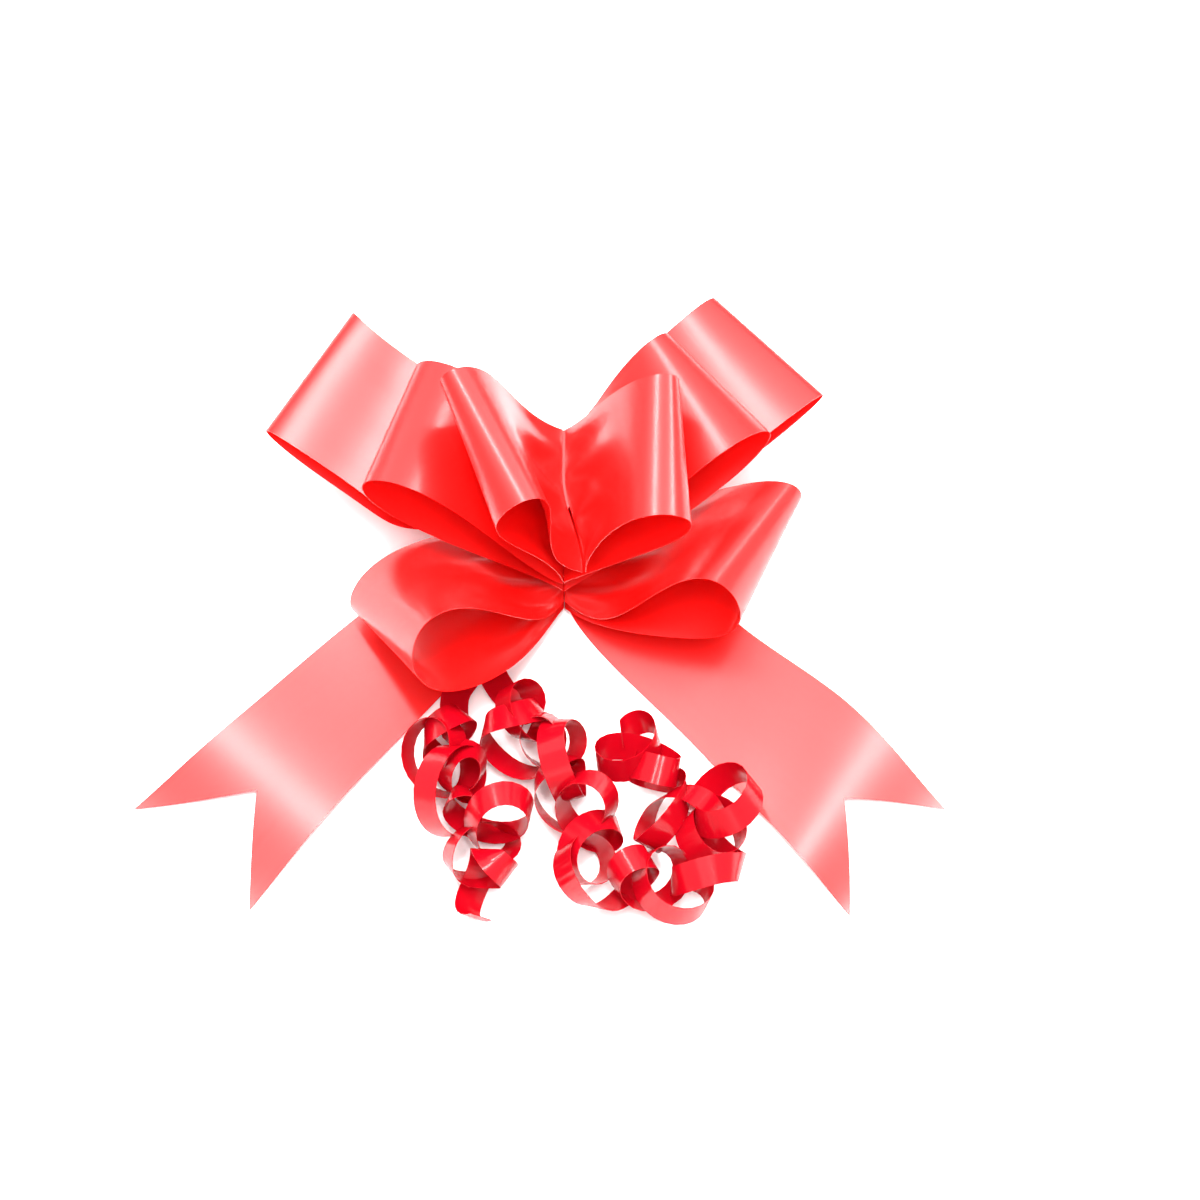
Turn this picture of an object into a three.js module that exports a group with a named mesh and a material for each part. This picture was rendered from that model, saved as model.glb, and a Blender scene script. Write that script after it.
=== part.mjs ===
import * as THREE from 'three';
import { mergeVertices } from 'three/addons/utils/BufferGeometryUtils.js';

// A butterfly pull bow, lying on its back. +Z is up, away from the table, and the
// two pull strings run along Z through the middle of the gather, at the origin.
// The tails point towards -Y and the table is the plane z = 0. Millimetres.

// Driving dimensions
const ribbonWidth = 30;
const filmThickness = 0.4;
const clearance = 0.3;
const weldPitch = 4.5;
const weldHeight = 1.2;
const weldLength = 4;
const weldWidth = 1.2;
const stringWidth = 5.5;
const stringThickness = 0.4;
const curlDiameter = 12;
const tailNotch = 15;
const tailRootWidth = 10;
const tailArch = 1.6;
const tailArchLean = 1.7;
const tableGap = 0.1;

// Steps of each film's mesh, along the ribbon and across it, and sides of each tube
const loopSteps = 44;
const tailSteps = 24;
const widthSteps = 6;
const leadSides = 8;
const curlSides = 12;

// The share of a tail that lies flat before it arches off the table, and how sharply
// a loop opens to the ribbon's full width beyond the gather
const tailFlatShare = 0.4;
const openingPower = 8;

// The gather: welds stacked along the strings, counted from the front of the bow.
// Each weld is a sharp fold of the ribbon, one sheet leaving above it, one below.
const weldCount = 5;
const weldZ = (number) => weldHeight / 2 + weldPitch * (weldCount - number);
const sheetZ = weldHeight / 2 - filmThickness / 2;
const rootX = weldWidth / 2 + clearance;

// A loop is the ribbon between two welds. near and far are the outermost points of
// its two edges, near being the edge towards the tails, and root is where those edges
// meet the gather along Y. plump is how far each edge bellies out from the line to
// its outermost point in front, and sag behind. A tight of 2 keeps the belly closer to
// the tip than 1 does. fan spreads the near edge's turn and tightens the far one's, and
// sway bows the loop sideways, towards its near edge. The points are chosen for a ribbon
// of drawnWidth. A wider one grows away from the edge that is held: 0 is the near edge,
// 1 the far edge, and 0.5 lets both edges move.
const drawnWidth = 30;
const loops = [
  {
    number: 1, side: 'left', root: [-15, 15], near: [-9, -12, 45], far: [-21, 14, 45],
    plump: [12, 8], sag: [9, 7], held: 0.5, tight: 2, fan: 0, sway: 0,
  },
  {
    number: 1, side: 'right', root: [-15, 15], near: [22, -13, 43], far: [21, 15, 41],
    plump: [11, 8], sag: [7, 4], held: 0.5, tight: 1, fan: 0, sway: 0,
  },
  {
    number: 2, side: 'left', root: [-15, 15], near: [-37, -3, 34], far: [-28, 25, 28],
    plump: [11, 9], sag: [7, 5], held: 0.5, tight: 1, fan: 0, sway: 0,
  },
  {
    number: 2, side: 'right', root: [-15, 15], near: [39, 9, 31], far: [20, 32, 27],
    plump: [12, 6], sag: [7, 4], held: 0.5, tight: 1, fan: 0, sway: 0,
  },
  {
    number: 3, side: 'left', root: [0, 15], near: [-58, 16, 17], far: [-42, 41, 18],
    plump: [8, 8], sag: [3, 3], held: 0, tight: 1, fan: 0.3, sway: 6,
  },
  {
    number: 3, side: 'right', root: [1, 15], near: [50, 22, 21], far: [30, 43, 20],
    plump: [6.5, 6], sag: [1.5, 3], held: 0, tight: 1, fan: 0.2, sway: 2,
  },
  {
    number: 4, side: 'left', root: [-15, -3], near: [-28, -35, 26], far: [-41, -17, 8],
    plump: [14, 13], sag: [11, 4], held: 1, tight: 1, fan: 0, sway: 0,
  },
  {
    number: 4, side: 'right', root: [-15, -3], near: [33, -22, 21], far: [46, 4, 14],
    plump: [17, 8], sag: [13, 8], held: 1, tight: 2, fan: 0, sway: 0,
  },
];

// A tail is the ribbon's free end. near and far are points along its two edges,
// from the gather outwards, and the ends of the edges are the swallow-tail's tips.
const tails = [
  {
    side: 'left',
    near: [[-5, -11], [-23, -32], [-42, -54], [-59, -76]],
    far: [[-12, 5], [-40, -16], [-62, -37], [-82, -56]],
  },
  {
    side: 'right',
    near: [[1, -15], [26, -44], [41, -61], [54, -77]],
    far: [[12, 4], [33, -17], [55, -35], [73, -56]],
  },
];

// Each pull string leaves the gather flat, then curls up in a loose pile. The lead
// is its uncurled stretch and the curl is the outside of its springy coils. A curl
// starts where its lead ends, one clearance further on.
const strings = [
  {
    side: 'left',
    lead: [[-16, -30], [-20, -33], [-21, -40]],
    curl: [[-21, -40], [-22, -47], [-21, -53], [-16, -59], [-13, -66], [-18, -72]],
  },
  {
    side: 'right',
    lead: [[-9, -27], [-9, -31], [-8, -36]],
    curl: [[-8, -36], [-7, -41], [-4, -46], [1, -52], [3, -60], [6, -68], [14, -73], [23, -71],
      [30, -65], [27, -58], [19, -56], [14, -50], [17, -43]],
  },
];

const colours = { ribbon: '#f03b3a', strings: '#d81a30', welds: '#b3141f' };

function film(name) {
  return new THREE.MeshStandardMaterial({ name, color: colours[name], roughness: 0.28, metalness: 0 });
}

const sideSign = (side) => (side === 'left' ? -1 : 1);

// A closed solid, filmThickness thick, about the surface that pointAt gives for a
// share of the way along the ribbon and a share of the way across it.
function sheetSolid(pointAt, steps, thickness) {
  const rows = [];
  for (let i = 0; i <= steps; i += 1) {
    const row = [];
    for (let j = 0; j <= widthSteps; j += 1) {
      row.push(pointAt(i / steps, j / widthSteps));
    }
    rows.push(row);
  }
  const last = { row: steps, column: widthSteps };
  const normalAt = (i, j) => {
    const along = rows[Math.min(i + 1, last.row)][j].clone();
    along.sub(rows[Math.max(i - 1, 0)][j]);
    const across = rows[i][Math.min(j + 1, last.column)].clone();
    across.sub(rows[i][Math.max(j - 1, 0)]);
    return along.cross(across).normalize();
  };
  const positions = [];
  const corner = (i, j, face) => {
    const offset = normalAt(i, j).multiplyScalar((face * thickness) / 2);
    return rows[i][j].clone().add(offset);
  };
  const quad = (a, b, c, d) => {
    [a, b, c, a, c, d].forEach((point) => positions.push(...point.toArray()));
  };
  for (let i = 0; i < last.row; i += 1) {
    for (let j = 0; j < last.column; j += 1) {
      quad(corner(i, j, 1), corner(i + 1, j, 1), corner(i + 1, j + 1, 1), corner(i, j + 1, 1));
      quad(corner(i, j, -1), corner(i, j + 1, -1), corner(i + 1, j + 1, -1), corner(i + 1, j, -1));
    }
  }
  for (let i = 0; i < last.row; i += 1) {
    quad(corner(i, 0, -1), corner(i + 1, 0, -1), corner(i + 1, 0, 1), corner(i, 0, 1));
    const j = last.column;
    quad(corner(i, j, 1), corner(i + 1, j, 1), corner(i + 1, j, -1), corner(i, j, -1));
  }
  for (let j = 0; j < last.column; j += 1) {
    quad(corner(0, j, 1), corner(0, j + 1, 1), corner(0, j + 1, -1), corner(0, j, -1));
    const i = last.row;
    quad(corner(i, j, -1), corner(i, j + 1, -1), corner(i, j + 1, 1), corner(i, j, 1));
  }
  const geometry = new THREE.BufferGeometry();
  geometry.setAttribute('position', new THREE.Float32BufferAttribute(positions, 3));
  return mergeVertices(geometry, 1e-4);
}

// One edge of a loop: a teardrop that leaves its front root, turns at its tip and
// comes back to its back root, bellying out along the belly direction.
function teardrop(frontRoot, backRoot, tip, belly, depths, tight, fan) {
  return (evenShare) => {
    const share = evenShare + (fan * Math.sin(4 * Math.PI * evenShare)) / (4 * Math.PI);
    const turn = 2 * Math.PI * share;
    const reach = (1 - Math.cos(turn)) / 2;
    const behind = (1 - Math.cos(turn / 2)) / 2;
    const depth = THREE.MathUtils.lerp(depths.front, depths.behind, behind);
    const bulge = Math.sin(turn) * Math.sin(turn / 2) ** (2 * tight) * depth;
    const root = frontRoot.clone().lerp(backRoot, share);
    return root.lerp(tip, reach).addScaledVector(belly, bulge);
  };
}

function loopMesh(loop) {
  const { number, side, root, near, far, plump, sag, held, tight, fan, sway } = loop;
  const nearTip = new THREE.Vector3(...near);
  const farTip = new THREE.Vector3(...far);
  const width = nearTip.clone().sub(farTip);
  const frontZ = weldZ(number) - sheetZ;
  const backZ = weldZ(number + 1) + sheetZ;
  const x = sideSign(side) * rootX;
  const middle = new THREE.Vector3(x, (root[0] + root[1]) / 2, (frontZ + backZ) / 2);
  const axis = nearTip.clone().lerp(farTip, 0.5).sub(middle);
  const belly = width.clone().cross(axis).normalize();
  if (belly.z < 0) belly.negate();
  const edge = (index, tip, spread) => teardrop(
    new THREE.Vector3(x, root[index], frontZ),
    new THREE.Vector3(x, root[index], backZ),
    tip,
    belly,
    { front: plump[index], behind: sag[index] },
    tight,
    spread,
  );
  const nearEdge = edge(0, nearTip, fan);
  const farEdge = edge(1, farTip, -fan);
  const rootWidth = root[1] - root[0];
  const pointAt = (along, across) => {
    const start = nearEdge(along);
    const end = farEdge(along);
    const opened = 1 - Math.cos(Math.PI * along) ** openingPower;
    const widthHere = THREE.MathUtils.lerp(rootWidth, ribbonWidth, opened);
    const bow = sway * Math.sin(2 * Math.PI * along) ** 2;
    const outwards = (0.5 - held) * (ribbonWidth - drawnWidth) * opened;
    const offset = widthHere * (across - 0.5) + outwards - bow;
    const direction = end.clone().sub(start).normalize();
    return start.lerp(end, 0.5).addScaledVector(direction, offset);
  };
  const mesh = new THREE.Mesh(sheetSolid(pointAt, loopSteps, filmThickness), film('ribbon'));
  mesh.name = `${side}_loop_${number}`;
  return mesh;
}

function tailMesh({ side, near, far }) {
  const x = sideSign(side) * rootX;
  const edge = (y, points) => new THREE.CatmullRomCurve3([
    new THREE.Vector3(x, y, 0),
    ...points.map(([px, py]) => new THREE.Vector3(px, py, 0)),
  ]);
  const nearEdge = edge(-tailRootWidth / 2, near);
  const farEdge = edge(tailRootWidth / 2, far);
  const notchShare = tailNotch / nearEdge.getLength();
  const pointAt = (along, across) => {
    const end = 1 - notchShare * (1 - Math.abs(2 * across - 1));
    const share = along * end;
    const point = nearEdge.getPoint(share).lerp(farEdge.getPoint(share), across);
    const arched = Math.max(0, (share - tailFlatShare) / (1 - tailFlatShare));
    point.z = filmThickness / 2 + tailArch * Math.sin(Math.PI * arched ** tailArchLean) ** 2;
    return point;
  };
  const mesh = new THREE.Mesh(sheetSolid(pointAt, tailSteps, filmThickness), film('ribbon'));
  mesh.name = `${side}_tail`;
  return mesh;
}

function weldMesh(number) {
  const geometry = new THREE.BoxGeometry(weldWidth, weldLength, weldHeight);
  const mesh = new THREE.Mesh(geometry, film('welds'));
  mesh.name = `weld_${number}`;
  mesh.position.z = weldZ(number);
  return mesh;
}

// The flat stretch of a pull string inside the gather, beside the welds.
function stringRunMesh(side) {
  const bottom = filmThickness;
  const height = weldZ(1) + weldHeight / 2 - bottom;
  const geometry = new THREE.BoxGeometry(stringThickness, stringWidth, height);
  const mesh = new THREE.Mesh(geometry, film('strings'));
  mesh.name = `${side}_string_in_gather`;
  const y = weldLength / 2 + clearance + stringWidth / 2;
  mesh.position.set(0, side === 'left' ? -y : y, bottom + height / 2);
  return mesh;
}

// A tube that lies on the table and starts one clearance past its route's first point.
function tubeMesh(name, route, diameter, sides, step) {
  const height = diameter / 2 + tableGap;
  const points = route.map(([x, y]) => new THREE.Vector3(x, y, height));
  const heading = points[1].clone().sub(points[0]).normalize();
  points[0].addScaledVector(heading, clearance);
  const curve = new THREE.CatmullRomCurve3(points);
  const section = new THREE.Shape();
  for (let k = 0; k < sides; k += 1) {
    const angle = (2 * Math.PI * (k + 0.5)) / sides;
    const point = [(diameter / 2) * Math.cos(angle), (diameter / 2) * Math.sin(angle)];
    if (k === 0) section.moveTo(...point);
    else section.lineTo(...point);
  }
  section.closePath();
  const geometry = new THREE.ExtrudeGeometry(section, {
    steps: Math.ceil(curve.getLength() / step),
    extrudePath: curve,
    bevelEnabled: false,
  });
  const mesh = new THREE.Mesh(geometry, film('strings'));
  mesh.name = name;
  return mesh;
}

const bow = new THREE.Group();
loops.forEach((loop) => bow.add(loopMesh(loop)));
tails.forEach((tail) => bow.add(tailMesh(tail)));
for (let number = 1; number <= weldCount; number += 1) bow.add(weldMesh(number));
strings.forEach(({ side, lead, curl }) => {
  bow.add(stringRunMesh(side));
  bow.add(tubeMesh(`${side}_string_lead`, lead, stringWidth, leadSides, 2 * stringWidth));
  bow.add(tubeMesh(`${side}_string_curl`, curl, curlDiameter, curlSides, curlDiameter / 2));
});

export default bow;
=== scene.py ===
# %% [markdown]
# # A butterfly pull bow
# A pull bow is two long strips of glossy polypropylene film laid on two thin pull strings
# and fused to them at five spots. Pulling the strings stacks the spots up in one gather, and
# each stretch of film between two of them springs out as a loop. Here it lies on its back.
# The CAD frame already holds every loop, tail, weld and string at its real place, so this
# script makes the thin, glossy film around it and never measures anything itself.

# %% Load the frame
import math

import bpy
import numpy as np
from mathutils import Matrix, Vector


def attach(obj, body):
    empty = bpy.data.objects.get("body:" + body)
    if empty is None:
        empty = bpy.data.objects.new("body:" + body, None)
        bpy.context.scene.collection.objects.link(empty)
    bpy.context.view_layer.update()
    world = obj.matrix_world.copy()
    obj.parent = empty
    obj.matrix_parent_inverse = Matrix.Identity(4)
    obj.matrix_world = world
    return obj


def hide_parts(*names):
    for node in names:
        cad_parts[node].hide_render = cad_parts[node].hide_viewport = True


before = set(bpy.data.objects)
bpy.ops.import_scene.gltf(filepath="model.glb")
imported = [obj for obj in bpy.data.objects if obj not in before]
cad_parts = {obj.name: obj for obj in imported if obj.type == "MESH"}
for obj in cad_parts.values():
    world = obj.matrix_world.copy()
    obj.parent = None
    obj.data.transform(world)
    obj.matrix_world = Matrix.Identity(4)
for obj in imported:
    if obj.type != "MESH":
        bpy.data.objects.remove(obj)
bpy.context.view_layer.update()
MM = 0.001
SIDES = {"left": -1, "right": 1}

# %% [markdown]
# ## The camera
# The bow is looked at from above and a little from the tails' side, as a shop shows it. A
# long lens from half a metre away keeps the near and far loops at nearly the same scale.
# Giving the camera as an angle, a distance and a point to look at makes it easy to walk round.

# %% Camera
view_elevation = math.radians(68)
view_distance = 0.557
view_target = Vector((0.007, -0.0128, 0))
camera_data = bpy.data.cameras.new("camera")
camera_data.lens = 85
camera_data.sensor_width = 36
camera = bpy.data.objects.new("camera", camera_data)
bpy.context.collection.objects.link(camera)
back_along_view = Vector((0, -math.cos(view_elevation), math.sin(view_elevation)))
camera.location = view_target + view_distance * back_along_view
camera.rotation_euler = (math.pi / 2 - view_elevation, 0, 0)
bpy.context.scene.camera = camera
print("camera is", round(camera.location.z, 3), "m above the table")

# %% [markdown]
# ## Colours and nodes
# Hex colours are what a colour picker shows, but shaders count light, so one function turns
# them to linear values. A second one adds a node with its settings and its links.

# %% Helpers for materials
def linear(hex_colour):
    channels = [int(hex_colour[i:i + 2], 16) / 255 for i in (1, 3, 5)]
    lit = [c / 12.92 if c <= 0.04045 else ((c + 0.055) / 1.055) ** 2.4 for c in channels]
    return (*lit, 1)


def add_node(tree, kind, settings=(), inputs=()):
    node = tree.nodes.new(kind)
    for name, value in dict(settings).items():
        setattr(node, name, value)
    for name, value in dict(inputs).items():
        if isinstance(value, bpy.types.NodeSocket):
            tree.links.new(value, node.inputs[name])
        else:
            node.inputs[name].default_value = value
    return node


print("pure ribbon red in linear light:", [round(c, 3) for c in linear("#e6100d")])

# %% [markdown]
# ## The film
# The ribbon is biaxially stretched polypropylene, extruded through a slot. The slot leaves
# hair lines along the ribbon, which make its gloss a little streaky, and the film lets some
# light through, so the inside of a loop glows. A noise pattern that is stretched along the
# ribbon's own UV map draws the hair lines. They are really some 0.1 mm apart, too fine to
# show, so they are drawn 0.5 mm apart. A Translucent shader lets through the glow. A coat
# with a rough gloss of its own adds the ribbon's haze. Polypropylene bends light with an
# index of 1.49, and the ribbon has nearly that. The strings' 1.45 is a choice, which
# keeps their reflections weaker.

# %% Film material
hair_line_spacing = 0.5 * MM
hair_line_length = 25 * MM
cloud_size = 9 * MM


def film_material(name, body, glow, roughness, glow_share, haze, ior):
    material = bpy.data.materials.new(name)
    material.use_nodes = True
    tree = material.node_tree
    tree.nodes.clear()
    place = add_node(tree, "ShaderNodeUVMap", {"uv_map": "ribbon"})
    stretch = add_node(tree, "ShaderNodeMapping", inputs={
        "Vector": place.outputs["UV"],
        "Scale": (1 / hair_line_length, 1 / hair_line_spacing, 1),
    })
    lines = add_node(tree, "ShaderNodeTexNoise", inputs={
        "Vector": stretch.outputs["Vector"], "Scale": 1, "Detail": 3, "Roughness": 0.6,
    })
    clouds = add_node(tree, "ShaderNodeTexNoise", inputs={
        "Vector": place.outputs["UV"], "Scale": 1 / cloud_size, "Detail": 2,
    })
    streaky = add_node(tree, "ShaderNodeMapRange", inputs={
        "Value": lines.outputs["Fac"], "From Min": 0.3, "From Max": 0.7,
        "To Min": roughness - 0.02, "To Max": roughness + 0.03,
    })
    tint = add_node(tree, "ShaderNodeMix", {"data_type": "RGBA"})
    colour_a, colour_b = tint.inputs[6], tint.inputs[7]
    colour_a.default_value, colour_b.default_value = linear(body[0]), linear(body[1])
    tree.links.new(clouds.outputs["Fac"], tint.inputs["Factor"])
    ribbed = add_node(tree, "ShaderNodeBump", inputs={
        "Height": lines.outputs["Fac"], "Strength": 0.12, "Distance": 0.02 * MM,
    })
    gloss = add_node(tree, "ShaderNodeBsdfPrincipled", inputs={
        "Base Color": tint.outputs[2], "Roughness": streaky.outputs["Result"],
        "Normal": ribbed.outputs["Normal"], "IOR": ior,
        "Coat Weight": haze, "Coat Roughness": 0.45, "Coat IOR": 1.5,
    })
    through = add_node(tree, "ShaderNodeBsdfTranslucent", inputs={"Color": linear(glow)})
    both = add_node(tree, "ShaderNodeMixShader", inputs={"Fac": glow_share})
    tree.links.new(gloss.outputs["BSDF"], both.inputs[1])
    tree.links.new(through.outputs["BSDF"], both.inputs[2])
    output = add_node(tree, "ShaderNodeOutputMaterial")
    tree.links.new(both.outputs["Shader"], output.inputs["Surface"])
    return material


ribbon_film = film_material(
    "red_polypropylene_ribbon_film", body=("#e6100d", "#dc0a0a"), glow="#ff2408",
    roughness=0.24, glow_share=0.25, haze=0.55, ior=1.5,
)
string_film = film_material(
    "crimson_polypropylene_curling_film", body=("#bc061a", "#ac0416"), glow="#e00a18",
    roughness=0.17, glow_share=0.3, haze=0.0, ior=1.45,
)
print("film materials:", ribbon_film.name, string_film.name)

# %% [markdown]
# ## Smooth lines through a few points
# The strings and the tails follow lines through a few given points. A centripetal
# Catmull-Rom curve passes through every point without overshooting, and it is the curve that
# the CAD model uses, so both give the same line.

# %% Curve through points
def curve_points(points, shares):
    points = np.array(points, float)
    first = 2 * points[0] - points[1]
    last = 2 * points[-1] - points[-2]
    padded = np.vstack([first, points, last])
    found = []
    for share in np.clip(shares, 0, 1):
        place = share * (len(points) - 1)
        i = min(int(place), len(points) - 2)
        before, start, end, after = padded[i:i + 4]
        spans = ((before, start), (start, end), (end, after))
        gap_in, gap, gap_out = (np.linalg.norm(b - a) ** 0.5 for a, b in spans)
        leave = (start - before) / gap_in - (end - before) / (gap_in + gap)
        leave = (leave + (end - start) / gap) * gap
        arrive = (end - start) / gap - (after - start) / (gap + gap_out)
        arrive = (arrive + (after - end) / gap_out) * gap
        t = place - i
        found.append(
            start + leave * t + (3 * (end - start) - 2 * leave - arrive) * t ** 2
            + (2 * (start - end) + leave + arrive) * t ** 3
        )
    return np.array(found)


def ease(value, low, high):
    share = np.clip((value - low) / (high - low), 0, 1)
    return share * share * (3 - 2 * share)


def unit(vectors):
    return vectors / np.linalg.norm(vectors, axis=-1, keepdims=True)


print("halfway along a bent line:", curve_points([(0, 0), (1, 0), (1, 1)], [0.5])[0])

# %% [markdown]
# ## The pull strings
# Each pull string is a strip of the same film, 5.5 mm wide. Dragging a blade along its free
# end stretches one face, so it springs into curls, which lie in a loose pile. The route is
# the pile's middle line, in millimetres, and the string is wound round it in rings that
# stand on the table. Slow sine waves of different pace vary each ring's place, direction,
# tilt and size, so that no two rings are alike.

# %% String routes
string_width = 5.5 * MM
string_thickness = 0.12 * MM
strings = {
    "left": {
        "exit": (-4, -10),
        "lead": [(-11, -19), (-18, -28), (-21, -33), (-21, -40)],
        "curl": [(-21, -40), (-22, -47), (-21, -53), (-16, -59), (-13, -66), (-18, -72)],
        "turns": 8.3, "start": 1.5, "radius": 5.8, "layer": 0.4,
    },
    "right": {
        "exit": (-3, -12),
        "lead": [(-9, -20), (-14, -27), (-12, -32), (-8, -36)],
        "curl": [(-8, -36), (-7, -41), (-4, -46), (1, -52), (3, -60), (6, -68), (14, -73),
                 (23, -71), (30, -65), (27, -58), (19, -56), (14, -50), (17, -43)],
        "turns": 17.2, "start": 0.4, "radius": 5.8, "layer": 0.8,
    },
}
points_per_turn = 28
lead_points = 22
wander, wander_pace = 3 * MM, 0.37
swing_reach, swing_pace = 1.0, 0.31
lift_middle, lift_reach, lift_pace = 0.66, 0.4, 0.43
size_reach, size_pace = 0.22, 0.57
full_size_turn = 1.2 * math.pi
up_weight = 0.999  # a little under 1, so opposite directions don't cancel out halfway


def wound_string(exit, lead, curl, turns, start, radius, layer):
    flat_shares = np.linspace(0, 1, lead_points + 1)
    flat = curve_points([(*p, 0) for p in [exit, *lead]], flat_shares)[:-1] * MM
    flat[:, 2] = layer * MM
    flat_facing = np.tile((0.0, 0.0, 1.0), (len(flat), 1))
    share = np.linspace(0, 1, int(turns * points_per_turn))
    middle = curve_points([(*p, 0) for p in curl], share) * MM
    heading = unit(np.gradient(middle, axis=0))
    up = np.array((0.0, 0.0, 1.0))
    aside = np.cross(up, heading)
    turn = 2 * math.pi * turns * share
    drift = wander * np.sin(turn * wander_pace + start) * ease(turn, 0, 2 * math.pi)
    middle += aside * drift[:, None]
    swing = swing_reach * np.sin(turn * swing_pace + start)
    lift = lift_middle + lift_reach * np.sin(turn * lift_pace + 2 * start)
    flatwise = heading * np.cos(swing)[:, None] + aside * np.sin(swing)[:, None]
    ring_axis = flatwise * np.cos(lift)[:, None] + up * np.sin(lift)[:, None]
    across = unit(np.cross(up, ring_axis))
    climb = np.cross(ring_axis, across)
    grown = ease(turn, 0, full_size_turn)
    size = radius * MM * (1 + size_reach * np.sin(turn * size_pace + start)) * grown
    height = size * np.cos(lift) + 0.5 * string_width * np.sin(lift) * grown
    angle = turn - math.pi / 2
    spoke = across * np.cos(angle)[:, None] + climb * np.sin(angle)[:, None]
    wound = middle + up * (height + layer * MM)[:, None] + spoke * size[:, None]
    blend = ease(turn, 0, math.pi)[:, None]
    facing = unit(spoke * -blend + up * (1 - blend) * up_weight)
    path = np.vstack([flat, wound])
    facing = np.vstack([flat_facing, facing])
    along = unit(np.gradient(path, axis=0))
    facing = unit(facing - along * np.sum(facing * along, axis=1)[:, None])
    return path, facing


for side, facts in strings.items():
    facts["path"], facts["facing"] = wound_string(**facts)
    steps = np.linalg.norm(np.diff(facts["path"], axis=0), axis=1)
    facts["length"] = float(steps.sum())
    print(side, "string:", round(facts["length"] / MM), "mm in", len(steps), "steps")

# %% [markdown]
# ## A strip that follows a path
# A flat strip swept along a line is a job for Geometry Nodes. The line carries the direction
# that the film faces at each point, Set Curve Normal takes it up, and Curve to Mesh sweeps a
# thin rectangle along it. The distance along the string is stored for the material.

# %% Strip tree
strip_tree = bpy.data.node_groups.new("film_strip_along_path", "GeometryNodeTree")
for name, kind in (
    ("Path", "NodeSocketGeometry"), ("Strip Width", "NodeSocketFloat"),
    ("Film Thickness", "NodeSocketFloat"), ("Film", "NodeSocketMaterial"),
):
    strip_tree.interface.new_socket(name, in_out="INPUT", socket_type=kind)
strip_tree.interface.new_socket("Strip", in_out="OUTPUT", socket_type="NodeSocketGeometry")
given = add_node(strip_tree, "NodeGroupInput")
line = add_node(strip_tree, "GeometryNodeMeshToCurve", inputs={"Mesh": given.outputs["Path"]})
facing = add_node(
    strip_tree, "GeometryNodeInputNamedAttribute", {"data_type": "FLOAT_VECTOR"},
    {"Name": "facing"},
)
turned = add_node(strip_tree, "GeometryNodeSetCurveNormal", {"mode": "FREE"}, {
    "Curve": line.outputs["Curve"], "Normal": facing.outputs["Attribute"],
})
reach = add_node(strip_tree, "GeometryNodeSplineParameter")
marked = add_node(
    strip_tree, "GeometryNodeStoreNamedAttribute", {"data_type": "FLOAT", "domain": "POINT"},
    {
        "Geometry": turned.outputs["Curve"], "Name": "along",
        "Value": reach.outputs["Length"],
    },
)
section = add_node(strip_tree, "GeometryNodeCurvePrimitiveQuadrilateral", inputs={
    "Width": given.outputs["Film Thickness"], "Height": given.outputs["Strip Width"],
})
swept = add_node(strip_tree, "GeometryNodeCurveToMesh", inputs={
    "Curve": marked.outputs["Geometry"], "Profile Curve": section.outputs["Curve"],
    "Fill Caps": True,
})
real = add_node(strip_tree, "GeometryNodeRealizeInstances", inputs={
    "Geometry": swept.outputs["Mesh"],
})
coated = add_node(strip_tree, "GeometryNodeSetMaterial", inputs={
    "Geometry": real.outputs["Geometry"], "Material": given.outputs["Film"],
})
add_node(strip_tree, "NodeGroupOutput", inputs={"Strip": coated.outputs["Geometry"]})
print("strip tree has", len(strip_tree.nodes), "nodes")

# %% Sweep the strings
sharp_angle = math.radians(40)


def keep_result(piece):
    bpy.context.view_layer.update()
    seen = piece.evaluated_get(bpy.context.evaluated_depsgraph_get())
    made = bpy.data.meshes.new_from_object(seen)
    piece.modifiers.clear()
    piece.data = made
    made.name = piece.name
    made.polygons.foreach_set("use_smooth", [True] * len(made.polygons))
    made.set_sharp_from_angle(angle=sharp_angle)


def swept_strip(name, path, facing, width, thickness, material):
    mesh = bpy.data.meshes.new(name + "_line")
    mesh.from_pydata([tuple(p) for p in path], [(i, i + 1) for i in range(len(path) - 1)], [])
    mesh.attributes.new("facing", "FLOAT_VECTOR", "POINT")
    mesh.attributes["facing"].data.foreach_set("vector", np.asarray(facing, float).ravel())
    piece = bpy.data.objects.new(name, mesh)
    bpy.context.collection.objects.link(piece)
    modifier = piece.modifiers.new("strip", "NODES")
    modifier.node_group = strip_tree
    entries = strip_tree.interface.items_tree
    sockets = {s.name: s.identifier for s in entries if s.in_out == "INPUT"}
    modifier[sockets["Strip Width"]] = width
    modifier[sockets["Film Thickness"]] = thickness
    modifier[sockets["Film"]] = material
    keep_result(piece)
    return piece


def map_strip(piece, width):
    mesh = piece.data
    along = np.zeros(len(mesh.vertices))
    mesh.attributes["along"].data.foreach_get("value", along)
    uv = mesh.uv_layers.new(name="ribbon")
    # The sweep leaves four vertices for each point of the line. Two neighbouring ones get the
    # far side of the map, and the other two the near side.
    for loop in mesh.loops:
        side = (loop.vertex_index % 4 in (1, 2)) * width
        uv.data[loop.index].uv = (along[loop.vertex_index], side)


for side, facts in strings.items():
    piece = swept_strip(
        f"{side}_pull_string", facts["path"], facts["facing"],
        string_width, string_thickness, string_film,
    )
    map_strip(piece, string_width)
    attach(piece, "gather")
    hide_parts(f"{side}_string_lead", f"{side}_string_curl")
    print(piece.name, "has", len(piece.data.polygons), "faces")

# %% [markdown]
# ## Film as a surface
# A loop or a tail is one sheet of film, bent but never stretched. It is made as a grid whose
# rows run across the ribbon, with a UV map in real metres so the hair lines stay lengthwise,
# and a Solidify modifier gives the film its thickness.

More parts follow.
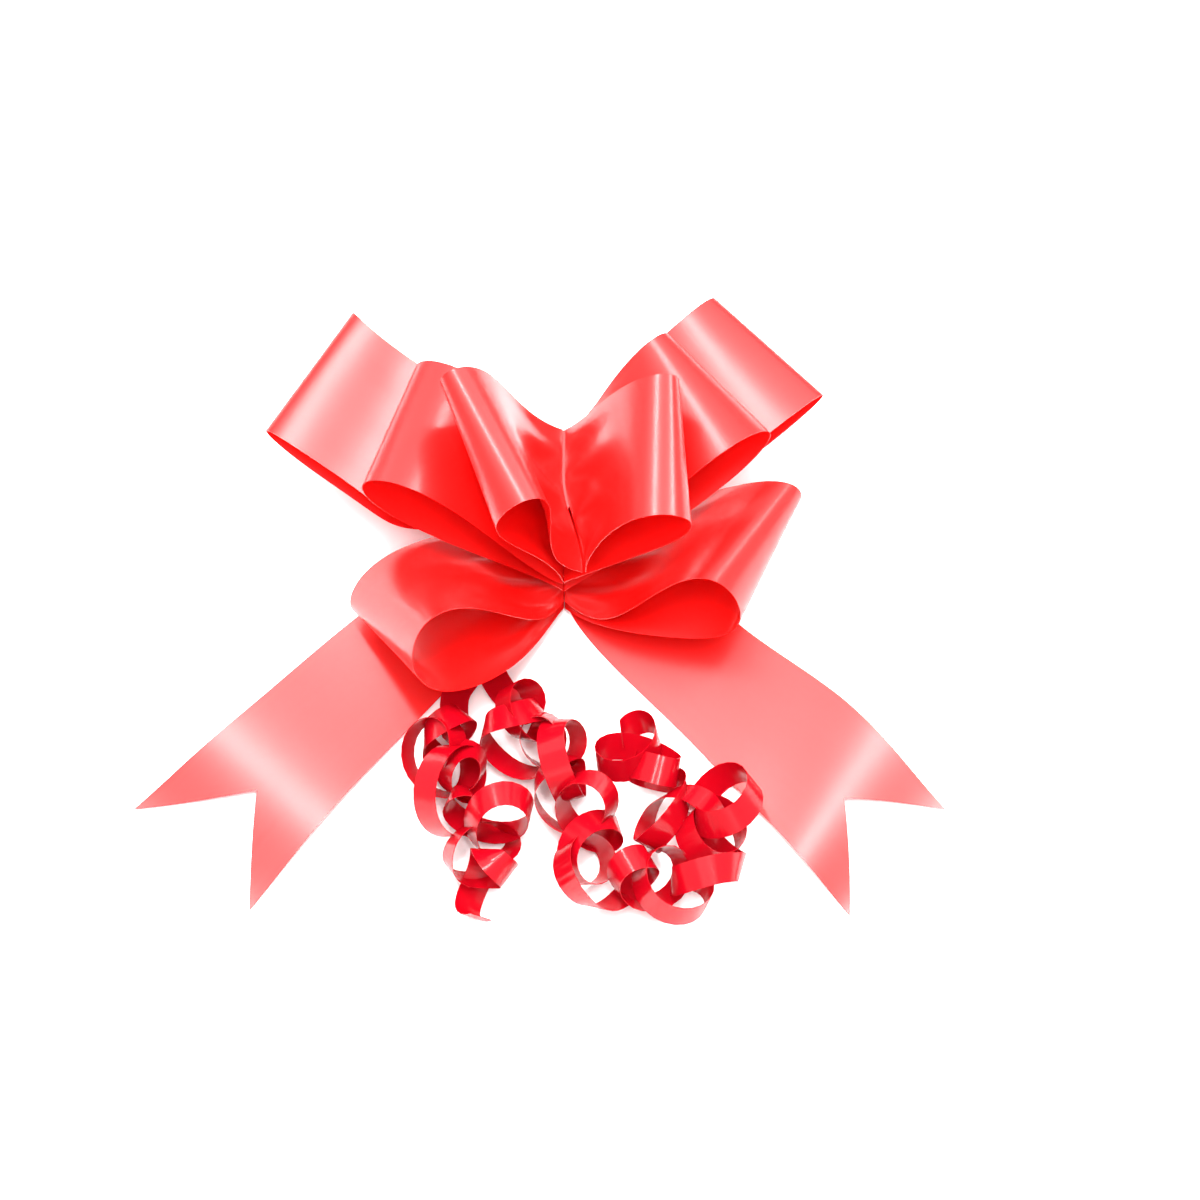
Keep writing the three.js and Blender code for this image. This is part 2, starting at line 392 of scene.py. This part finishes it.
# %% Sheet from a surface
ribbon_width = 30 * MM
film_thickness = 0.12 * MM


def film_sheet(name, points):
    rows, columns = points.shape[:2]
    mesh = bpy.data.meshes.new(name)
    index = np.arange(rows * columns).reshape(rows, columns)
    corners = (index[:-1, :-1], index[1:, :-1], index[1:, 1:], index[:-1, 1:])
    faces = np.stack(corners, axis=-1).reshape(-1, 4)
    mesh.from_pydata(points.reshape(-1, 3).tolist(), [], faces.tolist())
    steps = np.linalg.norm(np.diff(points, axis=0), axis=2).mean(axis=1)
    along = np.concatenate([[0], np.cumsum(steps)])
    across = np.linspace(0, 1, columns) * ribbon_width
    uv = mesh.uv_layers.new(name="ribbon")
    places = np.array([(along[v // columns], across[v % columns]) for v in faces.ravel()])
    uv.data.foreach_set("uv", places.ravel())
    mesh.polygons.foreach_set("use_smooth", [True] * len(faces))
    mesh.materials.append(ribbon_film)
    piece = bpy.data.objects.new(name, mesh)
    bpy.context.collection.objects.link(piece)
    solid = piece.modifiers.new("film", "SOLIDIFY")
    solid.thickness = film_thickness
    solid.offset = 0
    keep_result(piece)
    return piece, float(along[-1])


print("film is", film_thickness / MM, "mm thick")

# %% [markdown]
# ## The loops
# Each loop leaves the gather in front of one weld, turns at its tip and comes back behind it,
# so each of its edges is a teardrop. The two edges have tips at different heights, which fans
# the bow out, and the film between them is straight across. Near the gather the two ribbons
# come together: the front pair of loops meets in one valley, with the first weld under it.
# There a narrow web of fused film closes the line between them and leaves them free to bend.

# %% Loop sizes
weld_pitch = 4.5 * MM
weld_middle = 0.6 * MM
weld_count = 5
fold_offset = 0.4 * MM
fold_x = 0.9 * MM


def weld_z(number):
    return weld_middle + weld_pitch * (weld_count - number)


# Side and number. Then in mm, for the near and the far edge: where it leaves the gather (y),
# its tip (x, y, z), its front leg's bulge and its back leg's bulge. Then how close to the tip
# the bulges sit, how far the near edge runs ahead, and the legs' sway to the near side in mm.
loops = [
    ("left", 1, (-15, 15), (-9, -12, 45), (-21, 14, 45), (12, 8), (9, 7), 2, 0, 0),
    ("right", 1, (-15, 15), (22, -13, 43), (21, 15, 41), (11, 8), (7, 4), 1, 0, 0),
    ("left", 2, (-15, 15), (-37, -3, 34), (-28, 25, 28), (11, 9), (7, 5), 1, 0, 0),
    ("right", 2, (-15, 15), (39, 9, 31), (20, 32, 27), (12, 6), (7, 4), 1, 0, 0),
    ("left", 3, (0, 15), (-58, 16, 17), (-42, 41, 18), (8, 8), (3, 3), 1, 0.3, 6),
    ("right", 3, (1, 15), (50, 22, 21), (30, 43, 20), (6.5, 6), (1.5, 3), 1, 0.2, 2),
    ("left", 4, (-15, -3), (-28, -35, 26), (-41, -17, 8), (14, 13), (11, 4), 1, 0, 0),
    ("right", 4, (-15, -3), (33, -22, 21), (46, 4, 14), (17, 8), (13, 8), 2, 0, 0),
]
valley_lean = 4 * MM
valley_room = 0.3 * MM
pleat_count = 3.3
pleat_height = 2.2 * MM
valley_z = weld_z(1) + 0.95 * MM
valley_from, valley_to = -5 * MM, 15 * MM
gather_sharpness = 8
edge_gap = 0.1 * MM
weld_room = 0.8 * MM
weld_reach, weld_fade = 2.5 * MM, 11 * MM
weld_numbers = range(1, weld_count + 1)
print("welds are at", [round(weld_z(k) / MM, 1) for k in weld_numbers], "mm")

# %% Loop surface
loop_rows = 120
loop_columns = 25


def teardrop(front, back, tip, belly, plump, sag, tight, fan, even):
    share = even + fan * np.sin(4 * math.pi * even) / (4 * math.pi)
    turn = (2 * math.pi * share)[:, None]
    reach = (1 - np.cos(turn)) / 2
    depth = plump + (sag - plump) * (1 - np.cos(turn / 2)) / 2
    bulge = np.sin(turn) * np.sin(turn / 2) ** (2 * tight) * depth
    root = front + (back - front) * share[:, None]
    return root + (tip - root) * reach + belly * bulge


def loop_surface(side, number, root, near, far, plump, sag, tight, fan, sway):
    root, near, far, plump, sag = (np.array(v, float) * MM for v in (root, near, far, plump, sag))
    x = SIDES[side] * fold_x
    front_z = weld_z(number) - fold_offset
    back_z = weld_z(number + 1) + fold_offset
    axis = (near + far) / 2 - np.array((x, root.mean(), (front_z + back_z) / 2))
    belly = unit(np.cross(near - far, axis))
    belly = belly if belly[2] > 0 else -belly
    even = np.linspace(0, 1, loop_rows + 1)
    edges = []
    for edge, tip, spread in ((0, near, fan), (1, far, -fan)):
        front = np.array((x, root[edge], front_z))
        back = np.array((x, root[edge], back_z))
        legs = (plump[edge], sag[edge])
        edges.append(teardrop(front, back, tip, belly, *legs, tight, spread, even))
    middle = (edges[0] + edges[1]) / 2
    direction = unit(edges[1] - edges[0])
    opened = 1 - np.cos(math.pi * even) ** gather_sharpness
    root_width = root[1] - root[0]
    width = root_width + (ribbon_width - root_width) * opened
    bow = sway * MM * np.sin(2 * math.pi * even) ** 2
    across = np.linspace(-0.5, 0.5, loop_columns)
    offset = width[:, None] * across[None, :] - bow[:, None]
    return middle[:, None] + direction[:, None] * offset[..., None]


def gather_film(points, side, number):
    sign = SIDES[side]
    even = np.linspace(0, 1, len(points))[:, None]
    near_gather = np.cos(math.pi * even) ** gather_sharpness
    y = points[..., 1]
    inner = edge_gap + weld_room * (1 - ease(np.abs(y), weld_reach, weld_fade))
    points[..., 0] += sign * (inner - fold_x) * near_gather
    crossing = np.cross(np.gradient(points, axis=0), np.gradient(points, axis=1))
    across = np.linspace(0, 1, points.shape[1])[None, :]
    pleats = np.sin(2 * math.pi * pleat_count * across + number) * near_gather * (1 - near_gather)
    points += unit(crossing) * (pleat_height * pleats)[..., None]
    if number == 1:
        front = near_gather * (even < 0.5)
        lean = valley_lean * ease(-y, valley_from, valley_to)
        points[..., 0] += (lean + sign * (valley_room - inner)) * front
        points[..., 2] += (valley_z - (weld_z(1) - fold_offset)) * front
    return points


for side, number, *shape in loops:
    surface = gather_film(loop_surface(side, number, *shape), side, number)
    name = f"{side}_loop_{number}_film"
    piece, length = film_sheet(name, surface)
    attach(piece, f"{side}_loop_{number}")
    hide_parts(f"{side}_loop_{number}")
    print(name, round(length / MM), "mm of film")

# %% Web under the valley
web_half_width = 1.1 * MM
web_drop = 0.28 * MM
web_ends = (-1.5, 14.9)
web_rows = 12
web_columns = 5
web_y = np.linspace(*web_ends, web_rows) * MM
web_x = np.linspace(-web_half_width, web_half_width, web_columns)
web = np.zeros((len(web_y), len(web_x), 3))
web[..., 0] = web_x[None, :]
web[..., 1] = web_y[:, None]
web[..., 2] = valley_z - web_drop
piece, length = film_sheet("valley_web_film", web)
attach(piece, "gather")
print(piece.name, round(length / MM), "mm long")

# %% [markdown]
# ## The tails
# The last stretch of each ribbon is cut to a swallow tail and lies on the table. Its two
# edges are curves through a few points, in millimetres, and the film is straight between
# them. Past its first stretch it arches 1.6 mm off the table, because film that has been on
# a roll never lies quite flat.

# %% Tails
tail_rows = 90
tail_columns = 33
tail_notch = 15 * MM
tail_root_width = 10
tail_arch = 1.6 * MM
tail_arch_lean = 1.7
tail_flat_share = 0.4
tail_rise = 0.2 * MM
edge_samples = 200
tails = {
    "left": (
        [(-5, -11), (-23, -32), (-42, -54), (-59, -76)],
        [(-12, 5), (-40, -16), (-62, -37), (-82, -56)],
    ),
    "right": (
        [(1, -15), (26, -44), (41, -61), (54, -77)],
        [(12, 4), (33, -17), (55, -35), (73, -56)],
    ),
}


def tail_surface(side, near, far):
    x = SIDES[side] * fold_x / MM
    near_route = [(x, -tail_root_width / 2, 0), *((*p, 0) for p in near)]
    far_route = [(x, tail_root_width / 2, 0), *((*p, 0) for p in far)]
    dense = curve_points(near_route, np.linspace(0, 1, edge_samples)) * MM
    edge_length = np.linalg.norm(np.diff(dense, axis=0), axis=1).sum()
    columns = []
    for across in np.linspace(0, 1, tail_columns):
        cut = 1 - tail_notch / edge_length * (1 - abs(2 * across - 1))
        share = np.linspace(0, 1, tail_rows + 1) * cut
        near_points = curve_points(near_route, share)
        far_points = curve_points(far_route, share)
        column = (near_points + (far_points - near_points) * across) * MM
        arched = np.clip((share - tail_flat_share) / (1 - tail_flat_share), 0, 1)
        arch = np.sin(math.pi * arched ** tail_arch_lean) ** 2
        column[:, 2] = tail_rise + tail_arch * arch
        columns.append(column)
    return np.stack(columns, axis=1), edge_length


for side, edges in tails.items():
    surface, length = tail_surface(side, *edges)
    piece, _ = film_sheet(f"{side}_tail_film", surface)
    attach(piece, f"{side}_tail")
    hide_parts(f"{side}_tail")
    print(piece.name, round(length / MM), "mm of film")

# %% [markdown]
# ## Welds and the strings inside the gather
# Where heat has fused the layers, the film turns darker and glassy. The welds and the flat
# stretches of string beside them keep their CAD shape and only get a finish.

# %% Finish of the gather
def fused_material(name, body, roughness, grain_size):
    material = bpy.data.materials.new(name)
    material.use_nodes = True
    tree = material.node_tree
    gloss = tree.nodes["Principled BSDF"]
    place = add_node(tree, "ShaderNodeTexCoord")
    grain = add_node(tree, "ShaderNodeTexNoise", inputs={
        "Vector": place.outputs["Object"], "Scale": 1 / grain_size, "Detail": 3,
    })
    shade = add_node(tree, "ShaderNodeValToRGB", inputs={"Fac": grain.outputs["Fac"]})
    shade.color_ramp.elements[0].color = linear(body[0])
    shade.color_ramp.elements[1].color = linear(body[1])
    dents = add_node(tree, "ShaderNodeBump", inputs={
        "Height": grain.outputs["Fac"], "Strength": 0.4, "Distance": 0.05 * MM,
    })
    tree.links.new(shade.outputs["Color"], gloss.inputs["Base Color"])
    tree.links.new(dents.outputs["Normal"], gloss.inputs["Normal"])
    gloss.inputs["Roughness"].default_value = roughness
    gloss.inputs["IOR"].default_value = 1.49
    return material


weld_finish = fused_material(
    "heat_fused_polypropylene", body=("#a10a10", "#c41414"), roughness=0.3, grain_size=0.6 * MM)
run_finish = fused_material(
    "flat_pull_string_film", body=("#bf0c18", "#d01020"), roughness=0.2, grain_size=1.5 * MM)
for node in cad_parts:
    finish = None
    if node.startswith("weld"):
        finish = weld_finish
    elif node.endswith("in_gather"):
        finish = run_finish
    if finish:
        held = bpy.data.objects[node]
        for slot in held.material_slots:
            slot.material = finish
print("finished", [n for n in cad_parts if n.startswith("weld") or n.endswith("in_gather")])

# %% [markdown]
# ## Table and light
# Glossy film shows the lamps themselves, so they shape the picture more than the colour does.
# Two long strip lights above draw the pairs of bright lines on each bend. A large soft box
# behind the bow pales the far loops, and a weaker one in front fills the shadows under the
# near ones. White all round gives the film its milky reflection where it faces nothing else.

# %% Table and lights
table_size = 6
table_drop = 0.2 * MM
bpy.ops.mesh.primitive_plane_add(size=table_size)
table = bpy.context.object
table.name = "table"
table.location.z = -table_drop
paper = bpy.data.materials.new("matt_white_paper")
paper.use_nodes = True
paper_look = paper.node_tree.nodes["Principled BSDF"]
paper_look.inputs["Base Color"].default_value = linear("#f4f4f4")
paper_look.inputs["Roughness"].default_value = 0.9
table.data.materials.append(paper)


bow_middle = (0, -0.01, 0.02)
strip_size = (0.08, 1.8)
strip_power = 21


def area_light(name, place, size, power, aim=bow_middle):
    data = bpy.data.lights.new(name, "AREA")
    data.shape = "RECTANGLE"
    data.size, data.size_y = size
    data.energy = power
    lamp = bpy.data.objects.new(name, data)
    bpy.context.collection.objects.link(lamp)
    lamp.location = place
    lamp.rotation_euler = (Vector(aim) - Vector(place)).to_track_quat("-Z", "Y").to_euler()


area_light("left_strip", place=(-0.13, 0.2, 1.0), size=strip_size, power=strip_power)
area_light("right_strip", place=(0.2, 0.2, 1.0), size=strip_size, power=strip_power)
area_light("soft_box", place=(0.0, 0.8, 1.1), size=(2.6, 1.3), power=12, aim=(0, 0.5, 0))
area_light("front_fill", place=(0.0, -0.9, 1.1), size=(1.4, 1.0), power=6)
world = bpy.data.worlds.new("white_studio")
world.use_nodes = True
surround = world.node_tree.nodes["Background"]
surround.inputs["Color"].default_value = linear("#ffffff")
surround.inputs["Strength"].default_value = 1.0
bpy.context.scene.world = world
bpy.context.scene.view_settings.view_transform = "Standard"
